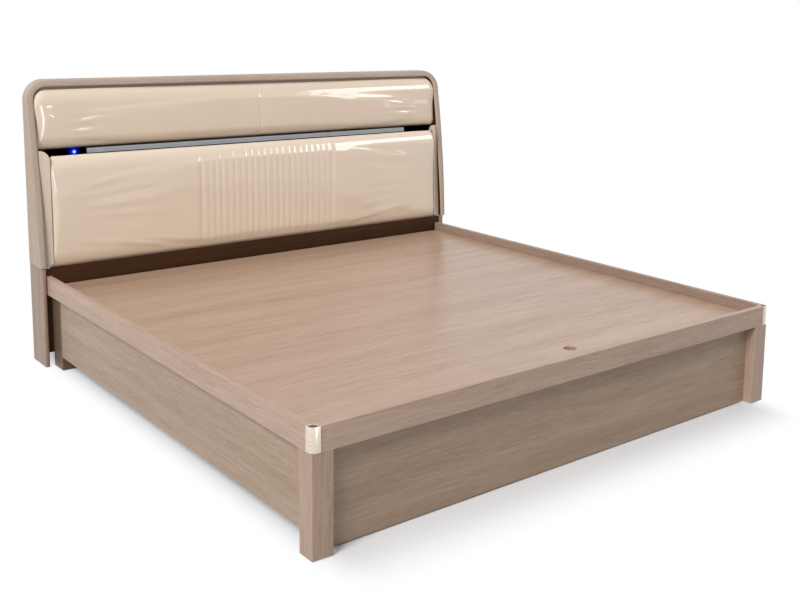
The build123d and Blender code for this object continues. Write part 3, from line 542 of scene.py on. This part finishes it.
bpy.ops.mesh.spin(steps=turn_steps, angle=-quarter, center=(corner_radius - band_outer, 0, corner_z),
                  axis=(0, 1, 0))
rail_run = 2 * (band_outer - corner_radius)
bpy.ops.mesh.extrude_region_move(TRANSFORM_OT_translate={"value": (rail_run, 0, 0)})
bpy.ops.mesh.spin(steps=turn_steps, angle=-quarter, center=(band_outer - corner_radius, 0, corner_z),
                  axis=(0, 1, 0))
for step in range(rise_steps):
    bpy.ops.mesh.extrude_region_move(TRANSFORM_OT_translate={"value": (0, 0, -rise)})
bpy.ops.mesh.select_all(action="DESELECT")
bpy.ops.mesh.select_non_manifold()
bpy.ops.mesh.edge_face_add()
bpy.ops.mesh.select_all(action="SELECT")
bpy.ops.mesh.remove_doubles(threshold=touching)
bpy.ops.mesh.normals_make_consistent(inside=False)
bpy.ops.object.mode_set(mode="OBJECT")

# The front is bowed, the rail is made thicker than the uprights, and every point keeps how far
# it lies along the band, across its thickness and into its depth
unrolled = band.data.attributes.new("unrolled", "FLOAT_VECTOR", "POINT")
arc_length = quarter * corner_radius
for index, vertex in enumerate(band.data.vertices):
    x, y, z = vertex.co
    side = -1 if x < 0 else 1
    over_x, over_z = abs(x) - (band_outer - corner_radius), z - corner_z
    if over_z <= touching:
        turn, across_band, along_band = 0, band_outer - abs(x), over_z - arc_length
    elif over_x <= touching:
        turn, across_band, along_band = quarter, band_top - z, -over_x
    else:
        reach = Vector((over_x, over_z))
        turn = reach.angle(Vector((1, 0)))
        across_band = corner_radius - reach.length
        along_band = arc_length * (turn / quarter - 1)
    unrolled.data[index].vector = (side * (pattern_start - along_band), across_band, y)
    growth = (rail_thickness - side_thickness) * across_band / side_thickness
    depth_share = (y - front_low) / (band_back - front_low)
    height_share = min((z - band_base) / growth_height, 1)
    front_growth = base_growth + (top_growth - base_growth) * height_share
    spread_out = front_growth - (front_growth + back_thinning) * depth_share
    spread_out *= cos(turn) * (1 - across_band / side_thickness)
    spread_out -= inner_growth * height_share * cos(turn) * (1 - depth_share) * across_band / side_thickness
    vertex.co.x = x + side * (spread_out + (growth * (1 - cos(turn)) if turn < quarter else 0))
    vertex.co.z = z - growth * sin(turn)
    if y < (front_low + band_back) / 2:
        vertex.co.y = y + band_front(vertex.co.z) - front_low
bpy.ops.object.select_all(action="DESELECT")
band.select_set(True)
bpy.context.view_layer.objects.active = band
bpy.ops.object.shade_smooth_by_angle(angle=band_crease)
band_light, band_dark = colour(204, 185, 169), colour(173, 154, 138)
band.data.materials.append(grain_material("band_laminate", band_light, band_dark, contrast=0.8,
                                          attribute="unrolled", rough=(0.5, 0.62), specular=0.25))
band.data.materials.append(shade_dark_board)
# Faces on the inside of the band get the near-black board, as painted shade in the gaps round the cushions
for face in band.data.polygons:
    inside = all(unrolled.data[index].vector.y > side_thickness * inner_share for index in face.vertices)
    face.material_index = 1 if inside else 0
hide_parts("headboard_side_left", "headboard_side_right", "headboard_top_rail")
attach(band, "bed")


# Cheeks
# Laminated side pieces at both ends of the lower cushion. Their fronts sweep back in a hollow to the
# inside of the frame, their corners next to the cushion are rounded, and they close the light slot.
def rolled(distance, extent, depth):
    """How far a rolled edge lies back from the full size, at a distance from the end."""
    share = max(1 - distance / extent, 0)
    return depth * (1 - sqrt(1 - share ** 2))


def spread(start, end, count):
    """Evenly spaced values after the start, up to and with the end."""
    return [start + (end - start) * (index + 1) / count for index in range(count)]


def lofted(name, rings):
    """A closed piece through rings of points, which all have the same number of points."""
    count = len(rings[0])
    points = [point for ring in rings for point in ring]
    faces = []
    for column in range(len(rings) - 1):
        first, second = column * count, (column + 1) * count
        for row in range(count):
            after = (row + 1) % count
            faces.append((first + row, first + after, second + after, second + row))
    faces.append(tuple(range(count - 1, -1, -1)))
    faces.append(tuple(range(len(points) - count, len(points))))
    made = open_piece(name, points, faces)
    bpy.ops.object.mode_set(mode="EDIT")
    bpy.ops.mesh.select_all(action="SELECT")
    bpy.ops.mesh.normals_make_consistent(inside=False)
    bpy.ops.object.mode_set(mode="OBJECT")
    return made


cheek_laminate = grain_material("cheek_laminate", colour(216, 200, 184), colour(190, 172, 155), upright,
                                contrast=0.7)
cheek_fit, cheek_edge, cheek_cove, cheek_foot = 0.0022, 0.0025, (0.007, 0.056), 0.009
corner_width, corner_rise, straight_share, round_share = 0.022, 0.028, 0.45, 0.55
corner_columns, front_columns, face_rows, edge_cut, cheek_crease = 14, 8, 32, 0.3, radians(40)
for side, hand in (("left", -1), ("right", 1)):
    cheek_low, cheek_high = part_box("cheek_" + side)
    inner = min(abs(cheek_low.x), abs(cheek_high.x))
    outer = band_outer - side_thickness - cheek_fit
    width = outer - inner
    base = cheek_low.z - cheek_foot
    gaps = [0] + [corner_width * (1 - cos(turn)) for turn in spread(0, quarter, corner_columns)]
    gaps += spread(corner_width, width, front_columns)
    rings = []
    for gap in gaps:
        share = gap / width
        hollow = straight_share * share + round_share * sqrt(max(0, 1 - (1 - share) ** 2))
        drop = rolled(gap, corner_width, corner_rise)
        low, high = base + drop, cheek_high.z - drop
        ring = [(cheek_high.y, low)]
        for step in range(face_rows + 1):
            z = low + cheek_edge + (high - low - 2 * cheek_edge) * step / face_rows
            reach = cheek_cove[0] + cheek_cove[1] * (z - base)
            face_y = cheek_low.y + reach * hollow + rolled(gap, cheek_edge, cheek_edge)
            if step == 0:
                ring += [(face_y + cheek_edge, low),
                         (face_y + edge_cut * cheek_edge, low + edge_cut * cheek_edge)]
            ring.append((face_y, z))
            if step == face_rows:
                ring += [(face_y + edge_cut * cheek_edge, high - edge_cut * cheek_edge),
                         (face_y + cheek_edge, high)]
        ring.append((cheek_high.y, high))
        rings.append([(hand * (inner + gap), y, z) for y, z in ring])
    cheek = lofted("cheek_board_" + side, rings)
    bpy.ops.object.shade_smooth_by_angle(angle=cheek_crease)
    cheek.data.materials.append(cheek_laminate)
    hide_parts("cheek_" + side)
    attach(cheek, "bed")


# Lower cushion
# Foam under glossy cream patent leather, stapled to a board behind: two plain panels and a ribbed
# centre. The cover is pulled tight over rolled edges and drawn in at its ends.
roll_rows, least_tightness, tuck_run, draw_run = 1.25, 0.3, 0.012, 0.05
calm_end, swell_frames, least_reach, pad_crease = (0.06, 0.20), 20, 0.00001, radians(60)
cloud_size, skin_size, ripple_size = (5.0, 5.0, 5.0), (1400.0, 1400.0, 1400.0), (9.0, 9.0, 14.0)
ripple_relief, skin_relief, skin_polish, gloss_roughness = 0.003, 0.0002, (0.26, 0.38), 0.04


def side_outline(low, high, front, back, top_roll, low_roll, crown, cell, ledge_y=None, ledge_z=None):
    """The closed outline of a cushion seen from its end, as depth and height pairs. Each roll is
    given by its height and its depth."""
    top_lip, low_lip = front + top_roll[1], front + low_roll[1]
    rows = round((high - low) / cell)
    shape = [(y, low) for y in spread(back, low_lip, max(3, round((back - low_lip) / cell)))]
    shape += [(low_lip - low_roll[1] * sin(a), low + low_roll[0] * (1 - cos(a)))
              for a in spread(0, quarter, round(roll_rows * low_roll[0] / cell))]
    shape += [(front, z) for z in spread(low + low_roll[0], high - top_roll[0], rows)]
    shape += [(top_lip - top_roll[1] * cos(a), high - top_roll[0] * (1 - sin(a)))
              for a in spread(0, quarter, round(roll_rows * top_roll[0] / cell))]
    if ledge_y:
        shape += [(y, high) for y in spread(top_lip, ledge_y, 2)]
        shape += [(ledge_y, z) for z in spread(high, ledge_z, 2)]
        shape += [(y, ledge_z) for y in spread(ledge_y, back, 3)]
        shape += [(back, z) for z in spread(ledge_z, low, rows // 2)]
    else:
        shape += [(y, high) for y in spread(top_lip, back, max(3, round((back - top_lip) / cell)))]
        shape += [(back, z) for z in spread(high, low, rows // 2)]
    middle = (low + high) / 2
    return [(y + crown * ((z - middle) / (high - middle)) ** 2 * max(0, (back - y) / (back - front)), z)
            for y, z in shape]


def pad_rings(outline, stations, front, back, low, high, end_roll, top_corner, low_corner, draw,
              tuck=None):
    """The outline repeated at each station across the bed, eased in at both ends, least at its
    corners, where the cover is pulled tightest."""
    half_width = stations[-1]
    middle = (low + high) / 2
    rings = []
    for x in stations:
        gap = half_width - abs(x)
        top_drop = rolled(gap, top_corner, top_corner)
        low_rise = rolled(gap, low_corner, low_corner)
        ring = []
        for y, z in outline:
            t = (z - low) / (high - low)
            tightness = max(least_tightness, sin(pi * t))
            eased = rolled(gap, end_roll[0] * tightness, end_roll[1] * tightness)
            waist = 1 - ((z - middle) / (high - middle)) ** 2
            reach = (tuck(z) if tuck else 0) * exp(-gap / tuck_run) - draw * waist * exp(-gap / draw_run)
            ring.append((x + x / half_width * reach, y + eased * (back - y) / (back - front),
                         z - top_drop * t + low_rise * (1 - t)))
        rings.append(ring)
    return rings


def smooth(value, start, end):
    """A share from 0 to 1 that eases in and out between two values."""
    share = max(0.0, min(1.0, (value - start) / (end - start)))
    return share * share * (3 - 2 * share)


def inflate(pad, held, cap):
    """Swells the cover with a short cloth simulation. Held points stay, the rest move up to the cap,
    less towards the ends, where the cover is tight."""
    before = [vertex.co.copy() for vertex in pad.data.vertices]
    pins = pad.vertex_groups.new(name="held")
    pins.add([vertex.index for vertex in pad.data.vertices if held(vertex.co)], 1.0, "REPLACE")
    cloth = pad.modifiers.new("cloth", "CLOTH")
    cloth.settings.vertex_group_mass = "held"
    cloth.settings.effector_weights.gravity = 0
    cloth.settings.use_pressure = True
    cloth.settings.uniform_pressure_force = 4
    cloth.settings.tension_stiffness = 25
    cloth.settings.compression_stiffness = 25
    cloth.settings.bending_stiffness = 2
    cloth.settings.quality = 5
    cloth.point_cache.frame_start, cloth.point_cache.frame_end = 1, swell_frames
    for moment in range(1, swell_frames + 1):
        scene.frame_set(moment)
    bpy.context.view_layer.objects.active = pad
    bpy.ops.object.modifier_apply(modifier="cloth")
    scene.frame_set(1)
    end = max(start.x for start in before)
    for vertex, start in zip(pad.data.vertices, before):
        moved = vertex.co - start
        if moved.length > 0:
            reach = cap * smooth(end - abs(start.x), *calm_end) + least_reach
            vertex.co = start + moved * (reach * tanh(moved.length / reach) / moved.length)
    pad.vertex_groups.clear()


def patent_leather(name, dull, bright):
    """Glossy coated leather: an even cream, a faint grain under the coat, and slow ripples in it."""
    made = bpy.data.materials.new(name)
    made.use_nodes = True
    tree = made.node_tree
    shader = tree.nodes["Principled BSDF"]
    place = add_node(tree, "ShaderNodeTexCoord").outputs["Object"]
    cloud = noise(tree, place, cloud_size, detail=2.0)
    tree.links.new(mix_colour(tree, cloud, dull, bright), shader.inputs["Base Color"])
    skin = noise(tree, place, skin_size, detail=1.0)
    ripple = noise(tree, place, ripple_size, detail=1.0)
    slow = add_node(tree, "ShaderNodeBump", {"Height": ripple, "Strength": 0.15,
                                             "Distance": ripple_relief})
    small = add_node(tree, "ShaderNodeBump", {"Height": skin, "Strength": 0.06, "Distance": skin_relief,
                                              "Normal": slow.outputs[0]})
    tree.links.new(small.outputs[0], shader.inputs["Normal"])
    tree.links.new(slow.outputs[0], shader.inputs["Coat Normal"])
    polish = add_node(tree, "ShaderNodeMapRange", {"Value": skin, "To Min": skin_polish[0],
                                                   "To Max": skin_polish[1]})
    tree.links.new(polish.outputs[0], shader.inputs["Roughness"])
    shader.inputs["Coat Weight"].default_value = 1.0
    shader.inputs["Coat Roughness"].default_value = gloss_roughness
    return made


def upholster(pad, leather, node):
    """Covers a finished pad and puts it in the place of its solid."""
    bpy.ops.object.select_all(action="DESELECT")
    pad.select_set(True)
    bpy.context.view_layer.objects.active = pad
    bpy.ops.object.shade_smooth_by_angle(angle=pad_crease)
    pad.data.materials.append(leather)
    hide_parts(node)
    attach(pad, "bed")


# The columns are fine enough for the ribs, which are sewn to uneven depths and fade at their ends
rib_count, ribbed_width, rib_shift, rib_depth = 21, 0.630, 0.012, 0.0020
ribbed_drop, cells_per_rib, even_share, uneven_share = 0.0014, 8, 0.7, 0.15
rib_skip, rib_kinds, rib_border, least_fade, low_fade, high_fade = 7, 5, (0.002, 0.022), 0.25, 0.05, 0.07
front_set, cover_depth, end_held, swell_cap, channel_gap = 0.003, 0.030, 0.0005, 0.0022, (0.0006, 0.0003)
pad_box_low, pad_box_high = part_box("lower_cushion")
half_width = pad_box_high.x
ledge_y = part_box("light_channel")[0].y - channel_gap[0]
ledge_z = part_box("light_channel")[0].z - channel_gap[1]
cell = ribbed_width / (rib_count * cells_per_rib)
ribs_start, ribs_end = rib_shift - ribbed_width / 2, rib_shift + ribbed_width / 2
columns = round((half_width - ribbed_width / 2) / cell)
stations = [-half_width] + spread(-half_width, ribs_start, columns)
stations += spread(ribs_start, ribs_end, rib_count * cells_per_rib)
stations += spread(ribs_end, half_width, columns)
pad_front, pad_back = pad_box_low.y + front_set, pad_box_high.y
pad_low, pad_high = pad_box_low.z, pad_box_high.z
cheek_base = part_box("cheek_left")[0].z - cheek_foot


def under_cheek(z):
    """How far the cushion's end reaches out below the cheek's rounded corner."""
    return rolled(max(z - cheek_base, 0), corner_rise, corner_width)


outline = side_outline(pad_low, pad_high, pad_front, pad_back, top_roll=(0.056, 0.030),
                       low_roll=(0.060, 0.024), crown=0.004, cell=0.006, ledge_y=ledge_y,
                       ledge_z=ledge_z)
rings = pad_rings(outline, stations, pad_front, pad_back, pad_low, pad_high,
                  end_roll=(0.030, 0.010), top_corner=0.022, low_corner=0.008, draw=0.001,
                  tuck=under_cheek)
lower = lofted("lower_pad", rings)
inflate(lower, lambda co: co.y > pad_front + cover_depth or abs(co.x) > half_width - end_held,
        swell_cap)
for vertex in lower.data.vertices:
    x, y, z = vertex.co
    depth_share = max(0.0, min(1.0, (pad_front + cover_depth - y) / cover_depth))
    inside = 1 - smooth(abs(x - rib_shift), ribbed_width / 2 - rib_border[0],
                        ribbed_width / 2 + rib_border[1])
    fade = (least_fade + (1 - least_fade) * smooth(z, pad_low, pad_low + low_fade)
            * (1 - smooth(z, pad_high - high_fade, pad_high)))
    along_ribs = (x - ribs_start) / (ribbed_width / rib_count)
    swell = sqrt(max(0.0, 1 - (2 * (along_ribs % 1.0) - 1) ** 2))
    uneven = even_share + uneven_share * (int(along_ribs) * rib_skip % rib_kinds)
    groove = rib_depth * uneven * (1 - swell) if ribs_start <= x <= ribs_end else rib_depth
    vertex.co.y += inside * depth_share * fade * (ribbed_drop + groove)
upholster(lower, patent_leather("patent_leather_lower", colour(236, 216, 193), colour(241, 223, 201)),
          "lower_cushion")


# Upper cushion
# The same leather over a slimmer roll with round top corners. It is sewn from two halves, and the
# seam pulls a shallow groove at the middle.
upper_fit, upper_cover_depth, end_run, end_cells = 0.0025, 0.032, 0.05, 16
seam_run, seam_cells, plain_cells = 0.06, 48, 130
seam_depth, seam_width, pull_depth, pull_width = 0.0010, 0.004, 0.0016, 0.03
upper_low, upper_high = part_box("upper_cushion")
half_width = band_outer - side_thickness - upper_fit
stations = [-half_width] + spread(-half_width, -half_width + end_run, end_cells)
stations += spread(-half_width + end_run, -seam_run, plain_cells)
stations += spread(-seam_run, seam_run, seam_cells)
stations += spread(seam_run, half_width - end_run, plain_cells)
stations += spread(half_width - end_run, half_width, end_cells)
cushion_front, cushion_back = upper_low.y + front_set, upper_high.y
outline = side_outline(upper_low.z, upper_high.z, cushion_front, cushion_back,
                       top_roll=(0.056, 0.032), low_roll=(0.045, 0.016), crown=0.004, cell=0.006)
rings = pad_rings(outline, stations, cushion_front, cushion_back, upper_low.z, upper_high.z,
                  end_roll=(0.045, 0.013), top_corner=0.044, low_corner=0.008, draw=0.001)
upper = lofted("upper_pad", rings)
inflate(upper, lambda co: co.y > cushion_front + upper_cover_depth
        or abs(co.x) > half_width - end_held, swell_cap)
for vertex in upper.data.vertices:
    x, y, z = vertex.co
    depth_share = max(0.0, min(1.0, (cushion_front + cover_depth - y) / cover_depth))
    seam = seam_depth * exp(-(x / seam_width) ** 2) + pull_depth * exp(-abs(x) / pull_width)
    vertex.co.y += seam * depth_share
# The same leather, painted a little darker than the lower cushion's, as painted shade
upholster(upper, patent_leather("patent_leather_upper_shade_painted", colour(231, 209, 184), colour(237, 217, 194)),
          "upper_cushion")
